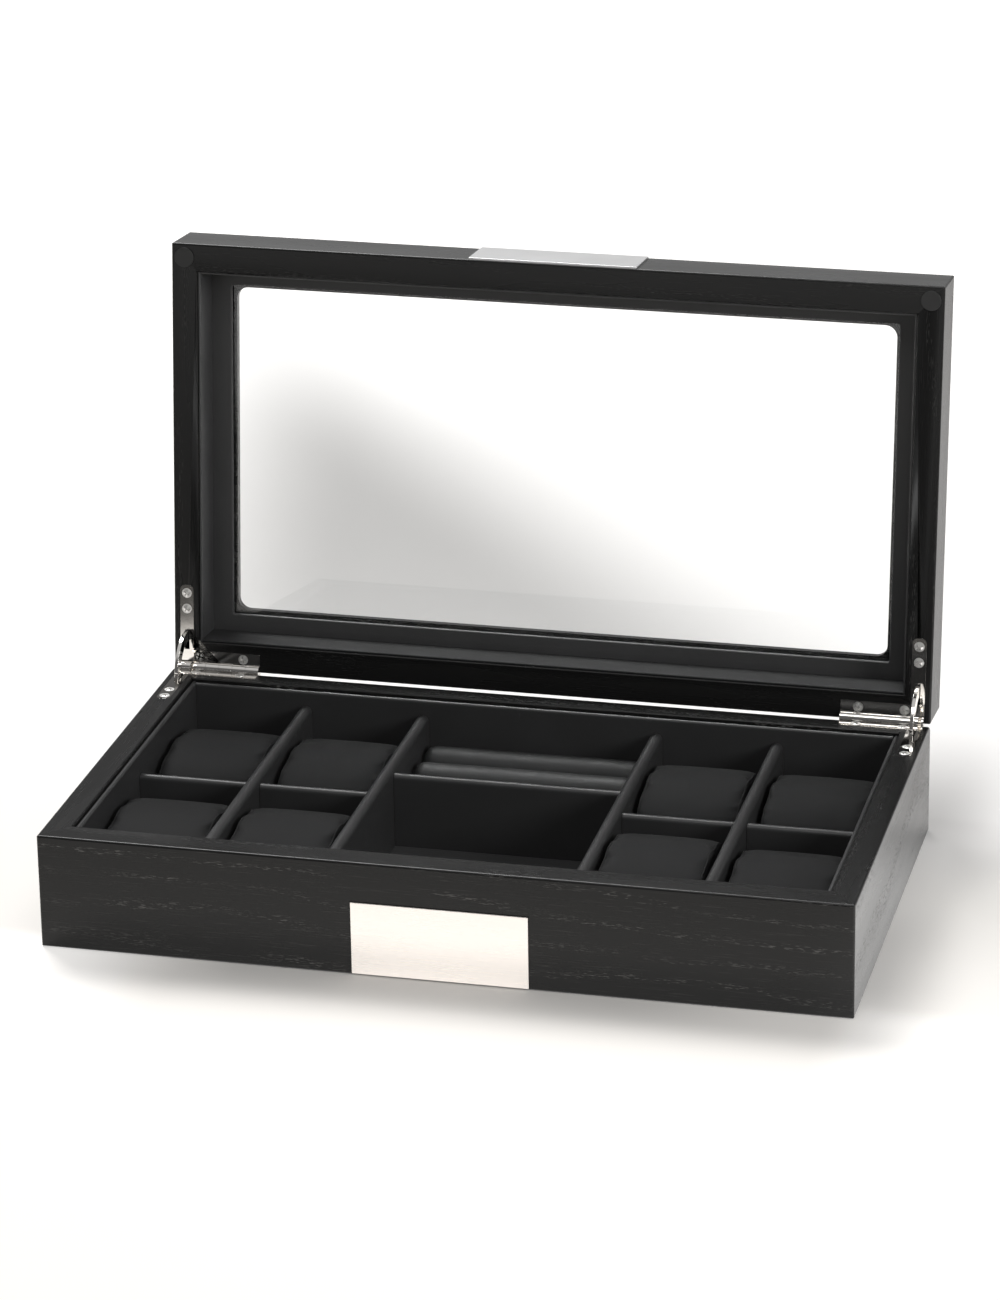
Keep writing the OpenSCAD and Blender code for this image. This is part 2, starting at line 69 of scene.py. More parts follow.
view = {
    "place": (0.52156, -2.08407, 0.96990),
    "right": (0.97434, 0.22482, -0.01044),
    "down": (0.07018, -0.34759, -0.93502),
    "lens": 133.95,
    "sensor": 36,
    "shift": (-0.0438, -0.0489),
    "clip": (0.05, 60),
}


def placeCamera(v):
    data = bpy.data.cameras.new("boxCamera")
    cam = bpy.data.objects.new("boxCamera", data)
    scene.collection.objects.link(cam)
    right = Vector(v["right"]).normalized()
    up = -Vector(v["down"]).normalized()
    back = right.cross(up)
    turn = Matrix((right, up, back)).transposed()
    cam.matrix_world = Matrix.Translation(v["place"]) @ turn.to_4x4()
    data.lens = v["lens"]
    data.sensor_width = v["sensor"]
    data.shift_x, data.shift_y = v["shift"]
    data.clip_start, data.clip_end = v["clip"]
    scene.camera = cam


placeCamera(view)
scene.view_settings.view_transform = "Standard"
print("camera placed")


# feed is a dict from input name or number to a value or a socket
def feedNode(tree, node, feed):
    for key, value in dict(feed).items():
        if isinstance(value, bpy.types.NodeSocket):
            tree.links.new(value, node.inputs[key])
        else:
            node.inputs[key].default_value = value


def addNode(tree, kind, feed=(), **settings):
    node = tree.nodes.new(kind)
    for key, value in settings.items():
        setattr(node, key, value)
    feedNode(tree, node, feed)
    return node


def blankMaterial(name):
    mat = bpy.data.materials.new(name)
    mat.use_nodes = True
    tree = mat.node_tree
    tree.nodes.clear()
    out = addNode(tree, "ShaderNodeOutputMaterial")
    shader = addNode(tree, "ShaderNodeBsdfPrincipled")
    tree.links.new(shader.outputs[0], out.inputs["Surface"])
    return mat, tree, shader


def maths(tree, operation, *values):
    node = addNode(tree, "ShaderNodeMath", dict(enumerate(values)), operation=operation)
    return node.outputs[0]


def times(tree, first, *others):
    for value in others:
        first = maths(tree, "MULTIPLY", first, value)
    return first


def plus(tree, first, *others):
    for value in others:
        first = maths(tree, "ADD", first, value)
    return first


# value * share + base
def scaled(tree, value, share, base):
    return maths(tree, "MULTIPLY_ADD", value, share, base)


def softStep(tree, value, low, high, fromValue=0.0, toValue=1.0):
    feed = {"Value": value, "From Min": low, "From Max": high, "To Min": fromValue, "To Max": toValue}
    return addNode(tree, "ShaderNodeMapRange", feed, interpolation_type="SMOOTHSTEP").outputs["Result"]


def blendColour(tree, factor, first, second):
    node = addNode(tree, "ShaderNodeMix", {0: factor, 6: first, 7: second}, data_type="RGBA")
    return node.outputs[2]


def cloud(tree, vector, scale, detail=2.0, rough=0.5):
    node = addNode(tree, "ShaderNodeTexNoise",
                   {"Vector": vector, "Scale": scale, "Detail": detail, "Roughness": rough})
    return node.outputs["Fac"]


def stretched(tree, vector, sizes):
    node = addNode(tree, "ShaderNodeVectorMath", {0: vector, 1: sizes}, operation="MULTIPLY")
    return node.outputs[0]


def splitXyz(tree, vector):
    return addNode(tree, "ShaderNodeSeparateXYZ", {0: vector}).outputs


def objectSpot(tree):
    return addNode(tree, "ShaderNodeTexCoord").outputs["Object"]


# under is the normal of a coarser relief below this one
def relief(tree, height, strength, distance, under=None):
    feed = {"Strength": strength, "Distance": distance, "Height": height}
    if under:
        feed["Normal"] = under
    return addNode(tree, "ShaderNodeBump", feed).outputs[0]


def rgb(value, tint=(1, 1, 1)):
    return (value * tint[0], value * tint[1], value * tint[2], 1.0)


# sizes are how often a thing repeats in a metre, along the grain and twice across it
oak = {
    "stain": (0.0068, (1.0, 0.99, 0.97)),
    "stainPale": (0.0098, (1.0, 0.99, 0.97)),
    "stainSizes": (9, 70, 70),
    "pore": (0.125, (1.0, 0.98, 0.95)),
    "ringPitch": 0.0105,         # metres between two bands of pores
    "bandRise": (0.06, 0.16),    # share of a ring over which its pores set in
    "bandFall": (0.24, 0.42),    # and over which they stop
    "heart": (-0.052, -0.034),   # centre of the rings, across the grain
    "heartTilt": 0.055,
    "waver": 0.011,              # metres
    "waverSizes": (5.5, 16, 16),
    "patchSizes": (16, 45, 45),
    "patchEdge": (0.36, 0.58),   # a band has its pores in patches
    "poreLength": 0.0036,        # metres
    "poreWidth": 0.00042,
    "poreEdge": (0.56, 0.70),
    "fineSizes": (60, 2600, 2600),
    "fineEdge": (0.60, 0.75),
    "fineShare": 0.22,           # strength of the fine pores between the bands
    "rimFilled": 0.85,           # share of the pores that is filled where the wood faces up
    "facingUp": (0.3, 0.6),
    "gloss": 0.27,
    "glossSpread": 0.10,
    "poreRough": 0.4,
    "poreDepth": 0.00012,        # metres
    "fineDepth": 0.13,           # of the pores' depth
    "relief": 0.55,
    "ior": 1.36,
}


# the grain runs along X after the mapping: turn is in degrees about Z, and lid pieces are turned shut first
def stainedOak(name, turn=0, onLid=False, shift=(0, 0, 0), filled=0.0):
    mat, tree, shader = blankMaterial(name)
    tilt = math.radians(box["lidOpen"]) if onLid else 0.0
    seen = addNode(tree, "ShaderNodeTexCoord").outputs
    grain = addNode(tree, "ShaderNodeMapping", {"Vector": seen["Object"], "Location": shift,
                                                "Rotation": (tilt, 0, math.radians(turn))}).outputs[0]
    at = splitXyz(tree, grain)
    # distance from the heart, with its waver, gives the rings
    drift = cloud(tree, stretched(tree, grain, oak["waverSizes"]), 1.0, 3.0, 0.55)
    drift = times(tree, maths(tree, "SUBTRACT", drift, 0.5), oak["waver"] * 2)
    across = plus(tree, at["Y"], -oak["heart"][0])
    height = plus(tree, at["Z"], -oak["heart"][1])
    height = scaled(tree, at["X"], oak["heartTilt"], height)
    squares = plus(tree, times(tree, across, across), times(tree, height, height))
    radius = plus(tree, maths(tree, "SQRT", squares), drift)
    ring = maths(tree, "FRACT", maths(tree, "DIVIDE", radius, oak["ringPitch"]))
    band = times(tree, softStep(tree, ring, *oak["bandRise"]),
                 softStep(tree, ring, *oak["bandFall"], 1.0, 0.0))
    # pores are dashes inside the bands, and finer ones between them
    patch = cloud(tree, stretched(tree, grain, oak["patchSizes"]), 1.0, 1.0)
    patch = softStep(tree, patch, *oak["patchEdge"])
    dashSizes = (1 / oak["poreLength"], 1 / oak["poreWidth"], 1 / oak["poreWidth"])
    dash = softStep(tree, cloud(tree, stretched(tree, grain, dashSizes), 1.0, 1.0), *oak["poreEdge"])
    pores = times(tree, dash, times(tree, band, patch))
    fine = cloud(tree, stretched(tree, grain, oak["fineSizes"]), 1.0, 2.0)
    sparse = times(tree, softStep(tree, fine, *oak["fineEdge"]), oak["fineShare"])
    facing = splitXyz(tree, seen["Normal"])["Z"]
    unfilled = 1.0 - filled
    left = softStep(tree, facing, *oak["facingUp"], unfilled, unfilled * (1.0 - oak["rimFilled"]))
    pores = times(tree, maths(tree, "MAXIMUM", pores, sparse), left)
    slow = cloud(tree, stretched(tree, grain, oak["stainSizes"]), 1.0, 3.0)
    stain = blendColour(tree, slow, rgb(*oak["stain"]), rgb(*oak["stainPale"]))
    sheen = scaled(tree, slow, oak["glossSpread"], oak["gloss"] - oak["glossSpread"] / 2)
    depth = scaled(tree, fine, oak["fineDepth"], times(tree, pores, -1.0))
    feedNode(tree, shader, {
        "Base Color": blendColour(tree, pores, stain, rgb(*oak["pore"])),
        "Roughness": scaled(tree, pores, oak["poreRough"], sheen),
        "Normal": relief(tree, depth, oak["relief"], oak["poreDepth"]),
        "IOR": oak["ior"],
    })
    return mat


oakAcross = stainedOak("stainedOakAcross")
oakDeep = stainedOak("stainedOakDeep", turn=90)
oakLidAcross = stainedOak("stainedOakLidAcross", onLid=True, shift=(0.13, 0.02, 0), filled=0.85)
oakLidDeep = stainedOak("stainedOakLidDeep", turn=90, onLid=True, filled=0.75)
oakTop = stainedOak("stainedOakTopFrame", onLid=True, shift=(0.05, -0.03, 0.01))

leatherette = {
    "dark": 0.029,
    "pale": 0.037,
    "paleTint": (1, 1, 1.02),
    "grainSize": 0.00075,    # metres
    "grainDepth": 0.00003,
    "grainRelief": 0.35,
    "softDepth": 0.00025,    # slow swells of the cover
    "glossSpread": 0.16,
    "grainRough": 0.06,
    "ior": 1.46,
    # gloss, relief of the swells, shine and tone of each cover; the floor and lid tones are paler as painted
    # light and the lid shelf's is darker as painted shade
    "covers": {
        "board": (0.35, 0.20, 0.38, 1.0),
        # painted light: the tray floor is paler, standing in for light that its hollow doesn't get
        "floor": (0.50, 0.25, 0.30, 1.45),
        # painted light: the lid's linings and bezel are paler, as if lit from the right
        "lid": (0.36, 0.20, 0.40, 1.45),
        # painted shade: the lid's rear lining, which faces up when the lid is open, is darker
        "lidShelfPaintedShade": (0.50, 0.20, 0.12, 0.85),
        "pillow": (0.60, 0.35, 0.05, 0.60),
        "roll": (0.50, 0.30, 0.25, 0.6),
    },
}


def blackLeatherette(name, gloss, swell, shine, toneAndPaintedLight):
    mat, tree, shader = blankMaterial(name)
    where = objectSpot(tree)
    cells = addNode(tree, "ShaderNodeTexVoronoi", {"Vector": where, "Scale": 1 / leatherette["grainSize"]},
                    feature="SMOOTH_F1").outputs["Distance"]
    slow = cloud(tree, where, 34.0, 3.0)
    worn = scaled(tree, slow, leatherette["glossSpread"], gloss - leatherette["glossSpread"] / 2)
    swells = relief(tree, cloud(tree, where, 85.0, 2.0), swell, leatherette["softDepth"])
    feedNode(tree, shader, {
        "Base Color": blendColour(tree, slow, rgb(leatherette["dark"] * toneAndPaintedLight),
                                  rgb(leatherette["pale"] * toneAndPaintedLight, leatherette["paleTint"])),
        "Roughness": scaled(tree, cells, leatherette["grainRough"], worn),
        "Normal": relief(tree, cells, leatherette["grainRelief"], leatherette["grainDepth"], swells),
        "IOR": leatherette["ior"],
        "Specular IOR Level": shine,
    })
    return mat


covers = {name: blackLeatherette(f"{name}Leatherette", *row) for name, row in leatherette["covers"].items()}

felt = {
    "dark": 0.010,
    "pale": 0.030,
    "fibreSizes": (900, 1500, 900),
    "depth": 0.0002,         # metres
    "relief": 0.6,
    "rough": 0.95,
    "sheen": 0.3,
}


def blackFelt():
    mat, tree, shader = blankMaterial("undersideFelt")
    fibres = cloud(tree, stretched(tree, objectSpot(tree), felt["fibreSizes"]), 1.0, 4.0, 0.7)
    feedNode(tree, shader, {
        "Base Color": blendColour(tree, fibres, rgb(felt["dark"]), rgb(felt["pale"])),
        "Normal": relief(tree, fibres, felt["relief"], felt["depth"]),
        "Roughness": felt["rough"],
        "Sheen Weight": felt["sheen"],
    })
    return mat


bottom = {
    "dark": (0.055, (1, .8, .6)),
    "pale": (0.105, (1, .8, .6)),
    "chips": 700.0,          # to the metre
    "rough": 0.8,
}


def bottomBoard():
    mat, tree, shader = blankMaterial("bottomBoard")
    chips = cloud(tree, objectSpot(tree), bottom["chips"], 4.0, 0.65)
    feedNode(tree, shader, {
        "Base Color": blendColour(tree, chips, rgb(*bottom["dark"]), rgb(*bottom["pale"])),
        "Roughness": bottom["rough"],
    })
    return mat


feltSkin = blackFelt()
fibreBoard = bottomBoard()

metals = {
    "plate": (0.93, 0.882, 0.84),
    "plateGloss": 0.26,
    # painted shade: the lid plate is a darker, greyer copy of the plate's satin metal
    "lidPlate": (0.72, 0.72, 0.72),
    "lidPlateGloss": 0.34,
    "brushSizes": (30, 3200, 3200),
    "brushRough": 0.10,
    "nickel": (0.86, 0.835, 0.80),
    "nickelGloss": 0.07,
    "screw": (0.88, 0.87, 0.85),
    "screwGloss": 0.38,
}


# fine satin lines run along X
def satinMetal(name, colour, gloss):
    mat, tree, shader = blankMaterial(name)
    where = objectSpot(tree)
    brush = cloud(tree, stretched(tree, where, metals["brushSizes"]), 1.0, 3.0, 0.6)
    smear = cloud(tree, where, 45.0, 2.0)
    pale = tuple(c * 1.02 for c in colour) + (1.0,)
    dull = tuple(c * 0.97 for c in colour) + (1.0,)
    rough = scaled(tree, brush, metals["brushRough"], gloss - metals["brushRough"] / 2)
    feedNode(tree, shader, {
        "Base Color": blendColour(tree, smear, dull, pale),
        "Roughness": scaled(tree, smear, 0.05, rough),
        "Normal": relief(tree, brush, 0.12, 0.00002),
        "Metallic": 1.0,
    })
    return mat


def brightNickel(name, colour, gloss):
    mat, tree, shader = blankMaterial(name)
    smear = cloud(tree, objectSpot(tree), 160.0, 3.0)
    dull = tuple(c * 0.93 for c in colour) + (1,)
    feedNode(tree, shader, {
        "Base Color": blendColour(tree, smear, dull, tuple(colour) + (1,)),
        "Roughness": scaled(tree, smear, gloss, gloss / 2),
        "Normal": relief(tree, smear, 0.08, 0.0001),
        "Metallic": 1.0,
    })
    return mat


pane = {
    "colour": (0.985, 0.99, 0.988, 1),
    "ior": 1.5,
    "shadow": (0.88, 0.89, 0.885, 1),    # what the lamps' light keeps on its way through
}


def clearGlass():
    mat, tree, shader = blankMaterial("windowGlass")
    feedNode(tree, shader, {"Base Color": pane["colour"], "Roughness": 0.0, "IOR": pane["ior"],
                            "Transmission Weight": 1.0})
    through = addNode(tree, "ShaderNodeBsdfTransparent", {"Color": pane["shadow"]})
    path = addNode(tree, "ShaderNodeLightPath").outputs
    both = addNode(tree, "ShaderNodeMixShader", {0: path["Is Shadow Ray"], 1: shader.outputs[0],
                                                 2: through.outputs[0]})
    out = next(n for n in tree.nodes if n.type == "OUTPUT_MATERIAL")
    tree.links.new(both.outputs[0], out.inputs["Surface"])
    return mat


pads = {
    "dark": 0.022,
    "pale": 0.031,
    "haze": 300.0,           # to the metre
    "rough": (0.35, 0.2),    # least, and what the haze adds
    "ior": 1.42,
}


def clearBumper():
    mat, tree, shader = blankMaterial("clearBumper")
    haze = cloud(tree, objectSpot(tree), pads["haze"], 2.0)
    feedNode(tree, shader, {
        "Base Color": blendColour(tree, haze, rgb(pads["dark"]), rgb(pads["pale"])),
        "Roughness": scaled(tree, haze, pads["rough"][1], pads["rough"][0]),
        "IOR": pads["ior"],
    })
    return mat


platePolish = satinMetal("satinPlate", metals["plate"], metals["plateGloss"])
lidPlatePaintedShadePolish = satinMetal("satinLidPlatePaintedShade", metals["lidPlate"], metals["lidPlateGloss"])
nickel = brightNickel("brightNickel", metals["nickel"], metals["nickelGloss"])
screwNickel = brightNickel("screwNickel", metals["screw"], metals["screwGloss"])
glassPane = clearGlass()
rubber = clearBumper()
print("materials ready")


def wear(obj, mat):
    obj.data.materials.clear()
    obj.data.materials.append(mat)


def smoothBy(mesh, degrees):
    mesh.shade_smooth()
    mesh.set_sharp_from_angle(angle=math.radians(degrees))


def placed(name, mesh):
    obj = bpy.data.objects.new(name, mesh)
    scene.collection.objects.link(obj)
    return obj


# edges flatter than smooth degrees are shaded smooth
def newPiece(name, mesh, mat, body, replaced, smooth=0):
    obj = placed(name, mesh)
    wear(obj, mat)
    if smooth:
        smoothBy(obj.data, smooth)
    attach(obj, body)
    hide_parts(replaced)
    return obj


# merged copy of a CAD node's mesh
def cleanCopy(nodeName, flatness=0.4):
    bm = bmesh.new()
    bm.from_mesh(nodes[nodeName].data)
    bmesh.ops.remove_doubles(bm, verts=bm.verts, dist=2e-6)
    bmesh.ops.dissolve_limit(bm, angle_limit=math.radians(flatness), verts=bm.verts, edges=bm.edges)
    bmesh.ops.recalc_face_normals(bm, faces=bm.faces)
    return bm


def toMesh(bm, name):
    mesh = bpy.data.meshes.new(name)
    bm.to_mesh(mesh)
    bm.free()
    return mesh


# faces between neighbouring rings of points, closed round
def ringFaces(bm, rings):
    for a, b in zip(rings, rings[1:]):
        for k in range(len(a)):
            after = (k + 1) % len(a)
            bm.faces.new((a[k], a[after], b[after], b[k]))


# mesh of an object with its modifiers applied, and the object removed
def bakedMesh(obj, name):
    bpy.context.view_layer.update()
    graph = bpy.context.evaluated_depsgraph_get()
    mesh = bpy.data.meshes.new_from_object(obj.evaluated_get(graph), depsgraph=graph)
    mesh.name = name
    old = obj.data
    bpy.data.objects.remove(obj)
    if old.users == 0:
        bpy.data.meshes.remove(old)
    return mesh


# copy of a CAD node with its sharp edges eased by width mm
def easedPiece(nodeName, name, mat, body, width, segments=2):
    helper = placed("easing", toMesh(cleanCopy(nodeName), "easing"))
    bevel = helper.modifiers.new("ease", "BEVEL")
    bevel.width = width * mm
    bevel.segments = segments
    bevel.limit_method = "ANGLE"
    bevel.angle_limit = math.radians(35)
    bevel.miter_outer = "MITER_ARC"
    eased = bakedMesh(helper, "eased")
    smoothBy(eased, 40)
    helper = placed("easing", eased)
    even = helper.modifiers.new("even", "WEIGHTED_NORMAL")
    even.keep_sharp = True
    even.weight = 85
    newPiece(name, bakedMesh(helper, name), mat, body, nodeName)


boards = {
    "slice": 4.0,            # mm between the cuts that let a cover ripple
    "ripple": 24.0,          # mm from one ripple to the next
    "liningSink": 0.16,      # deepest ripple in mm
    "dividerSink": 0.22,
    "crossSink": 0.18,
    "lidSink": 0.08,
    "bezelEase": 0.9,        # mm
    "smooth": 34,            # degrees
}


# a CAD board cut into slices along its length, its cover rippled inwards
def coveredBoard(nodeName, name, along, body, sink, seed, cover):
    bm = cleanCopy(nodeName)
    axis = Vector(along).normalized()
    reach = [v.co.dot(axis) for v in bm.verts]
    low, high = min(reach), max(reach)
    count = max(2, round((high - low) / (boards["slice"] * mm)))
    for k in range(1, count):
        spot = axis * (low + (high - low) * k / count)
        bmesh.ops.bisect_plane(bm, geom=bm.verts[:] + bm.edges[:] + bm.faces[:], dist=1e-7,
                               plane_co=spot, plane_no=axis)
    bm.normal_update()
    moves = []
    for v in bm.verts:
        at = v.co / (boards["ripple"] * mm) + Vector((seed, seed * 0.7, -seed))
        depth = 0.5 + 0.5 * noise.noise(at) + 0.25 * noise.noise(at * 3.1)
        moves.append(v.normal * (-sink * mm * max(0.0, depth)))
    for v, move in zip(bm.verts, moves):
        v.co += move
    newPiece(name, toMesh(bm, name), cover, body, nodeName, boards["smooth"])


alongX, alongY = (1, 0, 0), (0, 1, 0)
for i, side in enumerate(("front", "rear", "left", "right")):
    coveredBoard(f"base_lining_{side}", f"trayLining{side.title()}", alongY if i > 1 else alongX, "base",
                 boards["liningSink"], 1.0 + i, covers["board"])
for i in range(1, 5):
    coveredBoard(f"long_divider_{i}", f"longDivider{i}", alongY, "base", boards["dividerSink"],
                 4.0 + i, covers["board"])
for i, side in enumerate(("left", "middle", "right")):
    coveredBoard(f"cross_divider_{side}", f"crossDivider{side.title()}", alongX, "base", boards["crossSink"],
                 9.0 + i, covers["board"])
for i, side in enumerate(("front", "rear", "left", "right")):
    coveredBoard(f"lid_lining_{side}", f"lidLining{side.title()}", lidAlong if i > 1 else alongX, "lid",
                 boards["lidSink"], 12.0 + i, covers["lidShelfPaintedShade" if side == "rear" else "lid"])
easedPiece("window_bezel", "windowBezel", covers["lid"], "lid", boards["bezelEase"], 3)
print("covered boards done")

pillow = {
    "around": 72,            # points round the oval
    "rings": 14,             # stretches of the blank along its length
    "axisDown": 20,          # mm from the top down to the middle of the oval
    "inset": 1.3,            # mm left for the stuffing to swell into
    "insetBelow": 0.3,       # share of it that is left at the flat underside
    "endRound": 4.5,         # mm at each end over which the oval draws in
    "drawIn": 0.03,          # share by which the oval shrinks at the seam
    "crown": 0.5,            # mm by which the middle stands above the shoulders
    "voxel": 3.0,            # mm
    "frames": 20,
    "mostMove": 1.3,         # mm
    "heldEnd": 1.3,          # mm of cover held at each seam during the stuffing
    "heldBelow": 1.5,        # and above the underside
    "pucker": 0.28,          # mm, folds beside the seam
    "puckerReach": 7.0,      # mm from the seam to where the folds die out
    "swell": 0.22,           # mm, slow unevenness of the stuffing
    "endGap": 0.15,          # mm between the cover and the end of its space
    "welt": 0.45,            # mm, radius of the piping
    "weltIn": 1.0,           # mm from the end of the pillow to its piping
    "weltPoints": (96, 8),   # along the piping and round it
    "fill": 0.85,
    "cloth": {
        "quality": 6,
        "mass": 0.25,
        "use_pressure": True,
        "uniform_pressure_force": 4.0,
        "tension_stiffness": 12,
        "compression_stiffness": 8,
        "bending_stiffness": 0.4,
    },
}


# half width, half depth and half height of the oval, and where its flat underside is, in metres
def ovalSizes(size):
    inset = pillow["inset"] * mm
    axisDown = pillow["axisDown"] * mm
    flat = -(size.z - axisDown) + inset * pillow["insetBelow"]
    return size.x / 2 - inset, size.y / 2 - inset, axisDown - inset, flat


def ovalPoint(turn, halfDeep, halfHigh, flat):
    y = halfDeep * math.cos(turn)
    z = max(halfHigh * math.sin(turn), flat)
    return y, z


def ovalShrink(x, halfWide):
    left = (halfWide - abs(x)) / (pillow["endRound"] * mm)
    bend = max(0.0, 1.0 - max(0.0, left))
    return 1.0 - pillow["drawIn"] * (1.0 - math.sqrt(max(0.0, 1.0 - bend * bend)))


def pillowBlank(size):
    halfWide, halfDeep, halfHigh, flat = ovalSizes(size)
    around = pillow["around"]
    bm = bmesh.new()
    rings = []
    for s in range(pillow["rings"] + 1):
        x = (-1 + 2 * s / pillow["rings"]) * halfWide
        shrink = ovalShrink(x, halfWide)
        spots = [ovalPoint(2 * math.pi * k / around, halfDeep * shrink, halfHigh * shrink, flat)
                 for k in range(around)]
        rings.append([bm.verts.new((x, y, z)) for y, z in spots])
    ringFaces(bm, rings)
    bm.faces.new(rings[0])
    bm.faces.new(rings[-1])
    bmesh.ops.remove_doubles(bm, verts=bm.verts, dist=1e-5)
    bmesh.ops.recalc_face_normals(bm, faces=bm.faces)
    return toMesh(bm, "pillowBlank")


# lets a cover swell under pressure, with its seams and underside held, and caps how far it moves
def swollen(work, size):
    halfWide, _, _, flat = ovalSizes(size)
    start = [v.co.copy() for v in work.data.vertices]
    held = work.vertex_groups.new(name="held")
    for v in work.data.vertices:
        atSeam = abs(v.co.x) > halfWide - pillow["heldEnd"] * mm
        below = v.co.z < flat + pillow["heldBelow"] * mm
        if atSeam or below:
            held.add([v.index], 1.0, "REPLACE")
    cloth = work.modifiers.new("stuffing", "CLOTH")
    for key, value in pillow["cloth"].items():
        setattr(cloth.settings, key, value)
    cloth.settings.vertex_group_mass = "held"
    cloth.settings.effector_weights.gravity = 0
    cloth.point_cache.frame_start = 1
    cloth.point_cache.frame_end = pillow["frames"]
    for step in range(1, pillow["frames"] + 1):
        scene.frame_set(step)
    mesh = bakedMesh(work, "pillowStuffed")
    scene.frame_set(1)
    most = pillow["mostMove"] * mm
    for v, was in zip(mesh.vertices, start):
        move = v.co - was
        if move.length > most:
            v.co = was + move * (most / move.length)
    return placed("pillowWork", mesh)


def stuffed(size):
    work = placed("pillowWork", pillowBlank(size))
    remesh = work.modifiers.new("remesh", "REMESH")
    remesh.mode = "VOXEL"
    remesh.voxel_size = pillow["voxel"] * mm
    work = placed("pillowWork", bakedMesh(work, "pillowStuffed"))
    work = swollen(work, size)
    smooth = work.modifiers.new("round", "SUBSURF")
    smooth.levels = smooth.render_levels = 1
    return bakedMesh(work, "pillowStuffed")


# a closed tube laid on the cover round one end of the pillow
def weltRing(bm, cover, x, halfDeep, halfHigh, flat, seed):
    count, sides = pillow["weltPoints"]
    centre = []
    for k in range(count):
        y, z = ovalPoint(2 * math.pi * k / count, halfDeep, halfHigh, flat)
        way = Vector((0, y, z)).normalized()
        spot = cover.ray_cast(Vector((x, 0, 0)) + way * 0.06, -way)[0]
        if spot is not None:
            centre.append(spot)
    count = len(centre)
    soft = [(centre[k - 1] + centre[k] * 2 + centre[(k + 1) % count]) / 4 for k in range(count)]
    side = Vector((1, 0, 0))
    rings = []
    for k, c in enumerate(soft):
        ahead = (soft[(k + 1) % count] - soft[k - 1]).normalized()
        out = ahead.cross(side).normalized()
        fat = pillow["welt"] * mm * (1.0 + 0.10 * noise.noise(c * 600 + Vector((seed, 0, 0))))
        rings.append([bm.verts.new(c + (side * math.cos(t) + out * math.sin(t)) * fat)
                      for t in (2 * math.pi * j / sides for j in range(sides))])
    ringFaces(bm, rings + rings[:1])


# size is the space of the pillow that stuffedMesh was made for; each pillow is scaled to its own height
def watchPillow(row, column, seed, stuffedMesh, size):
    nodeName = f"pillow_{row}_{column}"
    low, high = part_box(nodeName)
    plump = (high.z - low.z) / size.z
    foot = -(size.z - pillow["axisDown"] * mm)
    centre = Vector(((low.x + high.x) / 2, (low.y + high.y) / 2, low.z))
    halfWide, halfDeep, halfHigh, flat = ovalSizes(size)
    bm = bmesh.new()
    bm.from_mesh(stuffedMesh)
    for v in bm.verts:
        near = max(0.0, 1.0 - (halfWide - abs(v.co.x)) / (pillow["puckerReach"] * mm))
        turn = math.atan2(v.co.z / halfHigh, v.co.y / halfDeep)
        folds = noise.noise(Vector((turn * 7.0, seed * 3.1, v.co.x * 60))) * near ** 1.5
        swell = noise.noise(v.co * 28 + Vector((seed, seed * 2, 0)))
        out = Vector((0, v.co.y, v.co.z)).normalized()
        crown = pillow["crown"] * (0.25 - (v.co.x / halfWide) ** 2) * (v.co.z > 0)
        v.co += out * (pillow["pucker"] * folds * 2.0 + pillow["swell"] * swell + crown) * mm
        v.co.z = max(v.co.z, flat - 0.1 * mm)
    # the stuffing drew the ends in, so they go back out to the end of their space
    reach = max(abs(v.co.x) for v in bm.verts)
    wider = (size.x / 2 - pillow["endGap"] * mm) / reach
    for v in bm.verts:
        v.co.x *= wider
    bm.normal_update()
    cover = BVHTree.FromBMesh(bm)
    for side in (-1, 1):
        weltRing(bm, cover, side * (reach * wider - pillow["weltIn"] * mm), halfDeep, halfHigh, flat, seed)
    bmesh.ops.recalc_face_normals(bm, faces=bm.faces)
    for v in bm.verts:
        v.co.z = (v.co.z - foot) * plump
        v.co += centre
    name = f"watchPillow{row.title()}{column}"
    obj = newPiece(name, toMesh(bm, name), covers["pillow"], nodeName, nodeName, 50)


def makePillows():
    low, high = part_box("pillow_rear_2")
    mesh = stuffed(high - low)
    seed = 1.0
    for row in ("rear", "front"):
        for column in range(1, 5):
            watchPillow(row, column, seed, mesh, high - low)
            seed += 1.7
    print("pillow mesh:", len(mesh.vertices), "points")
    bpy.data.meshes.remove(mesh)


makePillows()
print("watch pillows done")

rolls = {
    "names": ("ringRollFront", "ringRollMiddle", "ringRollRear"),
    "gap": 0.3,              # mm between two rolls
    "slice": 3.0,            # mm
    "arc": 22,               # steps over the top of a roll
    "endRound": 6.0,         # mm over which an end closes
    "endClose": 0.30,        # share by which it closes
    "topFlat": 0.96,         # height of the top's curve against its half width
    "swell": 0.30,           # mm
    "fill": 0.9,
}


# the outline of a roll across its length, from its front foot over the top to its rear foot
def rollOutline(r, top):
    rise = top - r
    curve = [(-r * math.cos(math.pi * t / rolls["arc"]), rise + r * math.sin(math.pi * t / rolls["arc"]))
             for t in range(rolls["arc"] + 1)]
    front = [(-r, 0.0)] + [(-r, rise * f) for f in (0.35, 0.7)]
    rear = [(r, rise * f) for f in (0.7, 0.35)] + [(r, 0.0)]
    return front + curve + rear


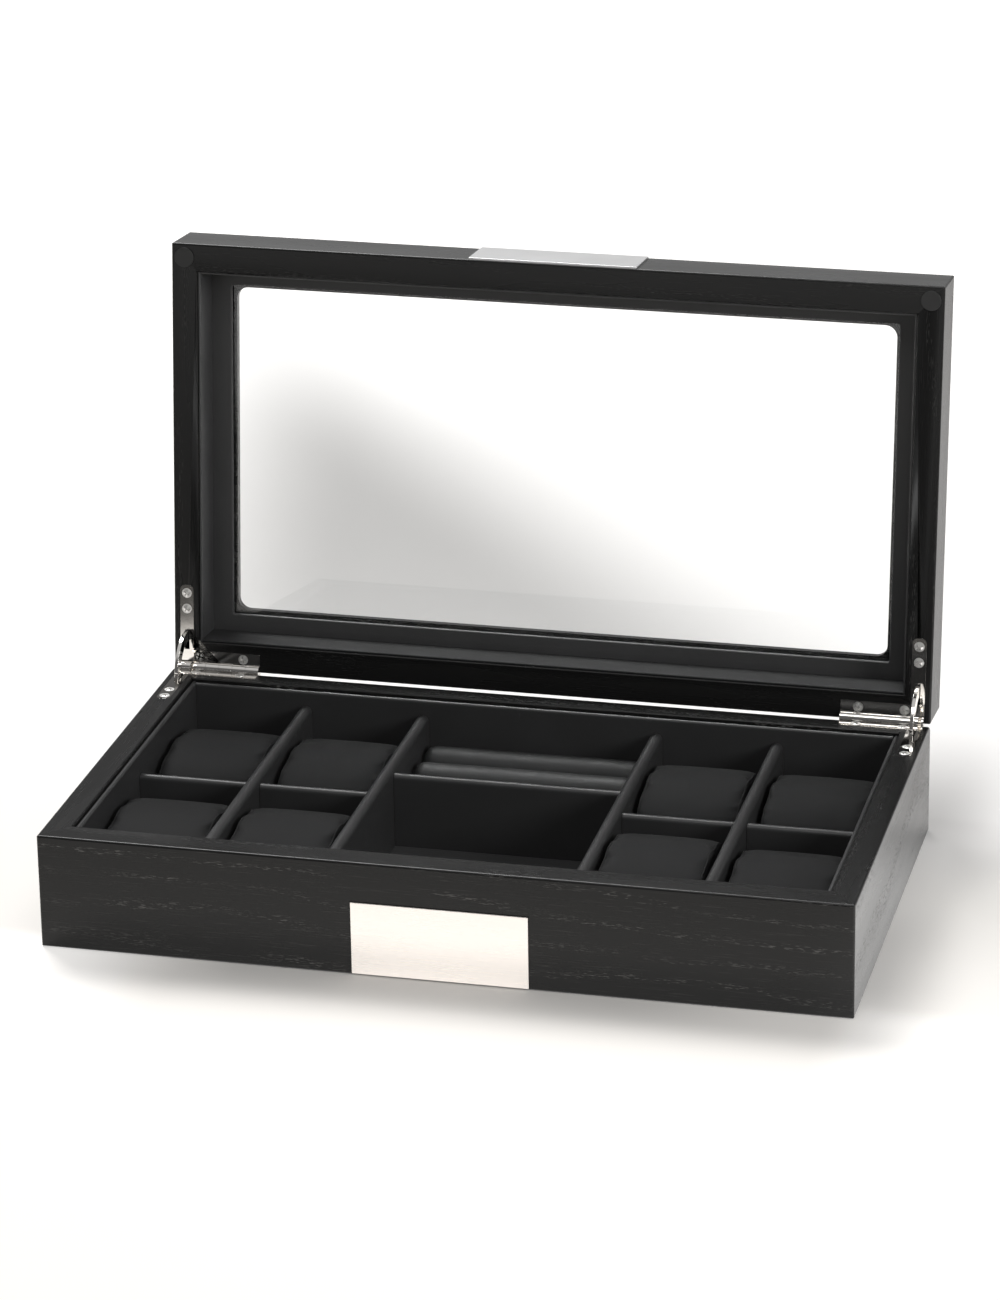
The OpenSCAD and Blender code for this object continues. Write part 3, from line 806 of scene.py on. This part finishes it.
def ringRoll(k, low, high):
    gap = rolls["gap"] * mm
    pitch = (high.y - low.y + gap) / len(rolls["names"])
    half = (pitch - gap) / 2
    midY = low.y + half + k * pitch
    halfLong = (high.x - low.x) / 2
    height = high.z - low.z
    count = round(2 * halfLong / (rolls["slice"] * mm))
    bm = bmesh.new()
    rings = []
    for s in range(count + 1):
        x = -halfLong + 2 * halfLong * s / count
        left = (halfLong - abs(x)) / (rolls["endRound"] * mm)
        bend = max(0.0, 1.0 - left)
        close = 1.0 - rolls["endClose"] * (1.0 - math.sqrt(max(0.0, 1.0 - bend * bend)))
        top = height - half + half * close * rolls["topFlat"] - (1 - close) * half * 0.4
        ring = []
        for y, z in rollOutline(half * close, top):
            at = Vector((x * 42, (midY + y) * 60, z * 60 + k * 5))
            soft = noise.noise(at) * rolls["swell"] * mm * min(1.0, max(0.0, z / (6 * mm)))
            inwards = math.copysign(abs(soft), y) * 0.5
            upwards = low.z + z + soft * 0.6 - 0.2 * mm * (z > 0)
            ring.append(bm.verts.new((x, midY + y - inwards, upwards)))
        rings.append(ring)
    ringFaces(bm, rings)
    bm.faces.new(rings[0])
    bm.faces.new(rings[-1])
    bmesh.ops.recalc_face_normals(bm, faces=bm.faces)
    name = rolls["names"][k]
    obj = newPiece(name, toMesh(bm, name), covers["roll"], "base", "ring_rolls", 50)


for k in range(len(rolls["names"])):
    ringRoll(k, *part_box("ring_rolls"))
print("ring rolls done")

# mm by which the edges of each are eased
eases = {
    "plate": 0.25,
    "pane": 0.3,
    "leaf": 0.05,            # short edges on the leaves hold it below this, so more has no effect
    "arm": 0.18,
    "pin": 0.2,
    "pads": 0.28,
}

easedPiece("base_plate", "basePlate", platePolish, "base", eases["plate"])
easedPiece("lid_plate", "lidPlate", lidPlatePaintedShadePolish, "lid", eases["plate"])
easedPiece("window_glass", "windowPane", glassPane, "lid", eases["pane"], 1)
for side in ("left", "right"):
    for part, name, body in (("base_leaf", "BaseLeaf", "base"), ("lid_leaf", "LidLeaf", "lid"),
                             ("arm", "Arm", f"{side}_arm"), ("pin", "Pin", "base")):
        easedPiece(f"hinge_{side}_{part}", f"hinge{side.title()}{name}", nickel, body,
                   eases[part.split("_")[-1]])
easedPiece("bumper_pads", "bumperPads", rubber, "lid", eases["pads"], 3)
print("plates, pane and hinge leaves done")

screws = {
    "sizes": {               # mm
        "Head Radius": 2.5,
        "Head Depth": 1.5,
        "Shank Radius": 1.2,
        "Shank Length": 8.4,
        "Dome": 1.2,
        "Slot Width": 0.85,
        "Slot Depth": 1.2,
        "Slot Length": 3.4,
    },
    "capNarrow": 0.985,      # the dome's width against the head's
    "capDown": -0.72,        # the dome's middle, in domes
    "shankDown": -0.6,       # the shank's top, in heads
    "seed": 7,
    "spots": [(188.3, 70.7), (188.3, 78.9), (181.9, 103.8), (158.6, 103.8)],     # right half, mm
}


def newTree(name, sockets):
    tree = bpy.data.node_groups.new(name, "GeometryNodeTree")
    for label, kind in sockets.items():
        tree.interface.new_socket(label, in_out="INPUT", socket_type=f"NodeSocket{kind}")
    tree.interface.new_socket("Geometry", in_out="OUTPUT", socket_type="NodeSocketGeometry")
    return tree, addNode(tree, "NodeGroupInput").outputs, addNode(tree, "NodeGroupOutput")


def lifted(tree, geometry, z):
    spot = addNode(tree, "ShaderNodeCombineXYZ", {"Z": z}).outputs[0]
    return addNode(tree, "GeometryNodeTransform", {"Geometry": geometry, "Translation": spot}).outputs[0]


def joined(tree, operation, parts, feed=()):
    node = addNode(tree, "GeometryNodeMeshBoolean", feed, operation=operation, solver="EXACT")
    for part in parts:
        tree.links.new(part, node.inputs["Mesh 2"])
    return node.outputs["Mesh"]


# a tree that sets one countersunk cross head screw on every point of the mesh it gets
def screwTree():
    sockets = {"Geometry": "Geometry", **{label: "Float" for label in screws["sizes"]},
               "Seed": "Int", "Material": "Material"}
    tree, given, out = newTree("hingeScrews", sockets)
    head = addNode(tree, "GeometryNodeMeshCone", {
        "Vertices": 40, "Radius Top": given["Head Radius"], "Radius Bottom": given["Shank Radius"],
        "Depth": given["Head Depth"]}).outputs["Mesh"]
    head = lifted(tree, head, times(tree, given["Head Depth"], -1.0))
    cap = addNode(tree, "GeometryNodeMeshUVSphere", {
        "Segments": 40, "Rings": 24, "Radius": given["Head Radius"]}).outputs["Mesh"]
    flat = addNode(tree, "ShaderNodeCombineXYZ", {
        "X": screws["capNarrow"], "Y": screws["capNarrow"],
        "Z": maths(tree, "DIVIDE", given["Dome"], given["Head Radius"])}).outputs[0]
    cap = addNode(tree, "GeometryNodeTransform", {"Geometry": cap, "Scale": flat}).outputs[0]
    cap = lifted(tree, cap, times(tree, given["Dome"], screws["capDown"]))
    shank = addNode(tree, "GeometryNodeMeshCylinder", {
        "Vertices": 24, "Radius": given["Shank Radius"], "Depth": given["Shank Length"]}).outputs["Mesh"]
    shank = lifted(tree, shank, scaled(tree, given["Shank Length"], -0.5,
                                       times(tree, given["Head Depth"], screws["shankDown"])))
    body = joined(tree, "UNION", (head, cap, shank))
    bars = []
    for turn in (0.0, math.pi / 2):
        size = addNode(tree, "ShaderNodeCombineXYZ", {
            "X": given["Slot Length"], "Y": given["Slot Width"],
            "Z": times(tree, given["Slot Depth"], 2.0)}).outputs[0]
        bar = addNode(tree, "GeometryNodeMeshCube", {"Size": size}).outputs["Mesh"]
        turned = addNode(tree, "GeometryNodeTransform", {"Geometry": bar, "Rotation": (0, 0, turn)})
        bars.append(turned.outputs[0])
    crossed = joined(tree, "DIFFERENCE", bars, {"Mesh 1": body})
    spin = addNode(tree, "FunctionNodeRandomValue", {"Seed": given["Seed"]}, data_type="FLOAT_VECTOR")
    feedNode(tree, spin, {0: (0, 0, 0), 1: (0, 0, 3.14)})
    each = addNode(tree, "GeometryNodeInstanceOnPoints", {
        "Points": given["Geometry"], "Instance": crossed, "Rotation": spin.outputs[0]}).outputs["Instances"]
    real = addNode(tree, "GeometryNodeRealizeInstances", {"Geometry": each}).outputs[0]
    dressed = addNode(tree, "GeometryNodeSetMaterial", {"Geometry": real, "Material": given["Material"]})
    tree.links.new(dressed.outputs[0], out.inputs[0])
    return tree


# sets a geometry nodes modifier's inputs by their identifiers
def feedTree(modifier, tree, values):
    for item in tree.interface.items_tree:
        if item.item_type == "SOCKET" and item.in_out == "INPUT" and item.name in values:
            modifier[item.identifier] = values[item.name]


def hingeScrews(name, tree, body, nodeName, place):
    mesh = bpy.data.meshes.new("screwSpots")
    mesh.from_pydata([(sx * x * mm, y * mm, 0) for sx in (-1, 1) for x, y in screws["spots"]], [], [])
    holder = placed("screwSpots", mesh)
    modifier = holder.modifiers.new("screws", "NODES")
    modifier.node_group = tree
    sizes = {label: size * mm for label, size in screws["sizes"].items()}
    feedTree(modifier, tree, {**sizes, "Seed": screws["seed"], "Material": screwNickel})
    made = bakedMesh(holder, name)
    made.transform(place)
    if place.determinant() < 0:
        made.flip_normals()
    bm = bmesh.new()
    bm.from_mesh(made)
    bmesh.ops.remove_doubles(bm, verts=bm.verts, dist=1e-6)
    bmesh.ops.recalc_face_normals(bm, faces=bm.faces)
    bm.to_mesh(made)
    bm.free()
    newPiece(name, made, screwNickel, body, nodeName, 30)


screwNodes = screwTree()
onBase = Matrix.Translation((0, 0, box["rim"] * mm))
onLid = lidTurn @ Matrix.Translation((0, 0, box["lidRim"] * mm)) @ Matrix.Scale(-1, 4, (0, 0, 1))
hingeScrews("hingeBaseScrews", screwNodes, "base", "hinge_base_screws", onBase)
hingeScrews("hingeLidScrews", screwNodes, "lid", "hinge_lid_screws", onLid)
print("hinge screws done")

finishes = {
    "base_front_wall": oakAcross, "base_rear_wall": oakAcross,
    "base_left_wall": oakDeep, "base_right_wall": oakDeep,
    "lid_front_wall": oakLidAcross, "lid_rear_wall": oakLidAcross,
    "lid_left_wall": oakLidDeep, "lid_right_wall": oakLidDeep, "lid_top_frame": oakTop,
    "base_lining_floor": covers["floor"], "base_felt": feltSkin, "base_panel": fibreBoard,
}
for nodeName, mat in finishes.items():
    wear(nodes[nodeName], mat)
    smoothBy(nodes[nodeName].data, 30)
print("wood and underside done")


def rayIs(tree, *kinds):
    path = addNode(tree, "ShaderNodeLightPath").outputs
    total = path[kinds[0]]
    for kind in kinds[1:]:
        total = maths(tree, "MAXIMUM", total, path[kind])
    return total


def mixed(tree, factor, low, high):
    node = addNode(tree, "ShaderNodeMix", {0: factor, 2: low, 3: high}, data_type="FLOAT")
    return node.outputs[0]


# rises from a to b and falls from c to d
def hump(tree, value, a, b, c, d):
    return times(tree, softStep(tree, value, a, b), softStep(tree, value, c, d, 1.0, 0.0))


# brightness of the sky by direction: an edge is a height or a depth on a sphere of radius 1
sky = {
    "ambient": 0.17,             # what matte things meet
    "front": 0.12,               # what metal and lacquer see of the room in front
    "low": 0.66,                 # the pale backdrop, low down behind the box
    "back": 0.12,                # above it
    "top": 0.55,
    "lowEdge": (0.16, 0.30),
    "backEdge": (-0.7, 0.3),
    "topEdge": (0.45, 0.85),
    "glassEdge": (0.10, 0.25),   # through glass it is plain white below this
}


# the eye meets plain white, lacquer and metal a darker room in front, and matte things an even level
def paleWorld():
    world = bpy.data.worlds.new("paleStudio")
    scene.world = world
    world.use_nodes = True
    tree = world.node_tree
    way = splitXyz(tree, addNode(tree, "ShaderNodeTexCoord").outputs["Generated"])
    low = softStep(tree, way["Z"], *sky["lowEdge"], sky["low"], sky["back"])
    mirror = mixed(tree, softStep(tree, way["Y"], *sky["backEdge"]), sky["front"], low)
    mirror = maths(tree, "MAXIMUM", mirror, softStep(tree, way["Z"], *sky["topEdge"], 0.0, sky["top"]))
    level = mixed(tree, rayIs(tree, "Is Glossy Ray", "Is Transmission Ray"), sky["ambient"], mirror)
    plain = times(tree, rayIs(tree, "Is Transmission Ray"), softStep(tree, way["Z"], *sky["glassEdge"], 1, 0))
    plain = maths(tree, "MAXIMUM", rayIs(tree, "Is Camera Ray"), plain)
    feedNode(tree, tree.nodes["Background"], {"Color": (1, 1, 1, 1),
                                              "Strength": mixed(tree, plain, level, 1.0)})


# places are in metres: two numbers are an edge, and of four, the first two are a rise and the last two a fall
ground = {
    # painted shade tint: the floor is warmer before the box, so that its shadow there reads warm
    "paintedShadeWarm": (0.815, 0.785, 0.745, 1),
    "plain": (0.80, 0.785, 0.77, 1),
    "plainFrom": (0.02, 0.14),
    "reach": 14.0,
    "down": 0.0002,
    # lift is brightness of its own, for what looks straight at it or through glass
    "lift": 0.18,
    "farLift": 0.20,             # more of it away from the box
    "farAt": (0.6, 1.3),
    "endLift": 0.45,             # and still more where the lamps no longer reach
    "endAt": (1.4, 2.6),
    "frontPaintedShade": 0.07,            # painted shade: taken from it along the front wall
    "frontX": (0.17, 0.23),
    "frontY": (-0.20, -0.12, -0.11, -0.10),
    "cornerPaintedLight": 0.34,          # painted light: added at the front corners, half of it at the right one, to pale the shadow there
    "cornerLeft": (-0.19, -0.12),
    "cornerRight": (0.18, 0.21),
    "cornerY": (-0.22, -0.15, -0.115, -0.09),
    # what lacquer and metal see of it
    "mirrorLift": 0.30,
    "wallPaintedReflection": 0.22,            # painted reflection: more of it along the front wall
    "sidePaintedReflection": 0.66,            # and painted reflection to the right of the box
    "sideX": (0.16, 0.22),
    "mirrorEndY": (0.02, 0.16),
    "mirrorEndAt": (0.30, 0.80),
    "roomNear": (-0.38, -0.23),  # where their dark room begins
    "roomFar": (-1.6, -1.0),     # and where it ends
    "roomDark": (0.92, 0.1),     # how dark it is, and the share of that beyond its end
    "farShine": 1.0,             # pale far end of the room
    # painted shadow: taken from the floor close to the box, for what looks straight at it
    "paintedContactShade": 0.30,             # before the front wall
    "contactX": (-0.14, -0.09, 0.08, 0.18),
    "contactY": (-0.145, -0.112, -0.11, -0.10),
    "rightX": (0.06, 0.12, 0.195, 0.255),
    "rightRearPaintedShade": 0.50,           # beside the lid
    "rightRearY": (0.090, 0.125, 0.118, 0.29),
    "rightFrontPaintedShade": 0.14,          # beside the front of the box
    "rightFrontY": (-0.11, -0.07, -0.03, 0.03),
    # painted shadow: the soft patch behind the open lid, which shows through glass only
    "patch": 0.528,
    "patchAcross": ((0.766, 0.643), (0.179, 0.343)),     # direction, and edge along it
    "patchSide": ((0.975, 0.221), (-0.238, -0.093)),
    "patchY": (-0.277, 0.522),
}


def alongWay(tree, x, y, way):
    return plus(tree, times(tree, x, way[0]), times(tree, y, way[1]))


# 1 where the painted shadow behind the lid is deepest, 0 outside it
def glassPaintedShadow(tree, x, y):
    across, acrossEdge = ground["patchAcross"]
    side, sideEdge = ground["patchSide"]
    return times(tree, softStep(tree, alongWay(tree, x, y, across), *acrossEdge, 1.0, 0.0),
                 softStep(tree, alongWay(tree, x, y, side), *sideEdge),
                 softStep(tree, y, *ground["patchY"]))


# share of the floor's light that its painted shades leave: a shadow seen through glass behind the lid, and
# shadows before and beside the box
def floorPaintedShade(tree, x, y):
    # painted shadow behind the lid, for what is seen through glass
    patch = times(tree, glassPaintedShadow(tree, x, y), rayIs(tree, "Is Transmission Ray"))
    fall = scaled(tree, patch, -ground["patch"], 1.0)
    # painted contact shadow before the front wall, for what looks straight at the floor
    under = times(tree, hump(tree, y, *ground["contactY"]), hump(tree, x, *ground["contactX"]),
                  rayIs(tree, "Is Camera Ray"))
    fall = times(tree, fall, scaled(tree, under, -ground["paintedContactShade"], 1.0))
    # painted shadow on the floor to the right of the box and beside the lid
    wall = hump(tree, x, *ground["rightX"])
    behind = times(tree, wall, hump(tree, y, *ground["rightRearY"]))
    ahead = times(tree, wall, hump(tree, y, *ground["rightFrontY"]))
    paintedDim = plus(tree, times(tree, behind, ground["rightRearPaintedShade"]), times(tree, ahead, ground["rightFrontPaintedShade"]))
    paintedDim = times(tree, paintedDim, rayIs(tree, "Is Camera Ray"))
    return times(tree, fall, maths(tree, "SUBTRACT", 1.0, paintedDim))


# brightness of its own for what looks straight at it, less along the front wall as painted shade and more at
# the front corners as painted light; before is 1 along the front wall
def floorLift(tree, x, y, away, before):
    lift = softStep(tree, away, *ground["farAt"], ground["lift"], ground["lift"] + ground["farLift"])
    lift = plus(tree, lift, softStep(tree, away, *ground["endAt"], 0.0, ground["endLift"]))
    lift = scaled(tree, before, -ground["frontPaintedShade"], lift)
    corner = plus(tree, softStep(tree, x, *ground["cornerLeft"], 1.0, 0.0),
                  softStep(tree, x, *ground["cornerRight"], 0.0, 0.5))
    corner = times(tree, corner, hump(tree, y, *ground["cornerY"]))
    return scaled(tree, corner, ground["cornerPaintedLight"], lift)


# brightness of its own for lacquer and metal, with painted reflection along the front wall and to the right
# of the box
def floorMirror(tree, x, y, away, before, room):
    shine = softStep(tree, x, *ground["sideX"], ground["mirrorLift"],
                     ground["mirrorLift"] + ground["sidePaintedReflection"])
    shine = scaled(tree, before, ground["wallPaintedReflection"], shine)
    shine = times(tree, shine, softStep(tree, y, *ground["mirrorEndY"], 1.0, 0.0),
                  softStep(tree, away, *ground["mirrorEndAt"], 1.0, 0.0), maths(tree, "SUBTRACT", 1.0, room))
    return maths(tree, "MAXIMUM", shine, softStep(tree, y, *ground["roomFar"], ground["farShine"], 0.0))


def paleFloor():
    mesh = bpy.data.meshes.new("floor")
    far = ground["reach"]
    mesh.from_pydata([(-far, -far, 0), (far, -far, 0), (far, far, 0), (-far, far, 0)], [], [(0, 1, 2, 3)])
    floor = placed("floor", mesh)
    floor.location.z = -ground["down"]
    mat = bpy.data.materials.new("paleFloor")
    mat.use_nodes = True
    tree = mat.node_tree
    tree.nodes.clear()
    spot = splitXyz(tree, objectSpot(tree))
    x, y = spot["X"], spot["Y"]
    fall = floorPaintedShade(tree, x, y)
    # what is seen through glass counts as glossy too, so it is taken out here
    glossy = times(tree, rayIs(tree, "Is Glossy Ray"),
                   maths(tree, "SUBTRACT", 1.0, rayIs(tree, "Is Transmission Ray")))
    dark, farDark = ground["roomDark"]
    room = times(tree, softStep(tree, y, *ground["roomNear"], dark, 0.0),
                 softStep(tree, y, *ground["roomFar"], farDark, 1.0))
    room = times(tree, glossy, room)
    shade = times(tree, fall, maths(tree, "SUBTRACT", 1.0, room))
    tint = blendColour(tree, softStep(tree, y, *ground["plainFrom"]), ground["paintedShadeWarm"], ground["plain"])
    paper = addNode(tree, "ShaderNodeVectorMath", {0: tint, "Scale": shade}, operation="SCALE")
    matte = addNode(tree, "ShaderNodeBsdfDiffuse", {"Color": paper.outputs[0]})
    away = maths(tree, "SQRT", plus(tree, times(tree, x, x), times(tree, y, y)))
    # before marks the front wall, where painted shade is taken from the lift and painted reflection added to
    # the shine
    before = times(tree, softStep(tree, maths(tree, "ABSOLUTE", x), *ground["frontX"], 1.0, 0.0),
                   hump(tree, y, *ground["frontY"]))
    lift = times(tree, rayIs(tree, "Is Camera Ray", "Is Transmission Ray"),
                 floorLift(tree, x, y, away, before))
    shine = times(tree, glossy, floorMirror(tree, x, y, away, before, room))
    glow = addNode(tree, "ShaderNodeEmission", {
        "Strength": times(tree, maths(tree, "MAXIMUM", lift, shine), fall)})
    both = addNode(tree, "ShaderNodeAddShader", {0: matte.outputs[0], 1: glow.outputs[0]})
    addNode(tree, "ShaderNodeOutputMaterial", {"Surface": both.outputs[0]})
    wear(floor, mat)


lamps = {
    "backBox": {"place": (-0.70, 1.06, 1.90), "aim": (0, 0.0, 0.05), "size": (1.15, 0.85), "power": 47},
    "topBox": {"place": (0.25, -0.90, 1.75), "aim": (0, 0.0, 0.05), "size": (0.9, 0.7), "power": 7.5},
    "keyBox": {"place": (1.70, -0.95, 0.85), "aim": (0, 0.1, 0.1), "size": (0.7, 0.6), "power": 17},
}


def softBox(name, v):
    data = bpy.data.lights.new(name, "AREA")
    data.shape = "RECTANGLE"
    data.size, data.size_y = v["size"]
    data.energy = v["power"]
    lamp = placed(name, data)
    lamp.location = v["place"]
    aim = Vector(v["aim"]) - Vector(v["place"])
    lamp.rotation_euler = aim.to_track_quat("-Z", "Y").to_euler()


paleWorld()
paleFloor()
for name, values in lamps.items():
    softBox(name, values)
print("studio done")
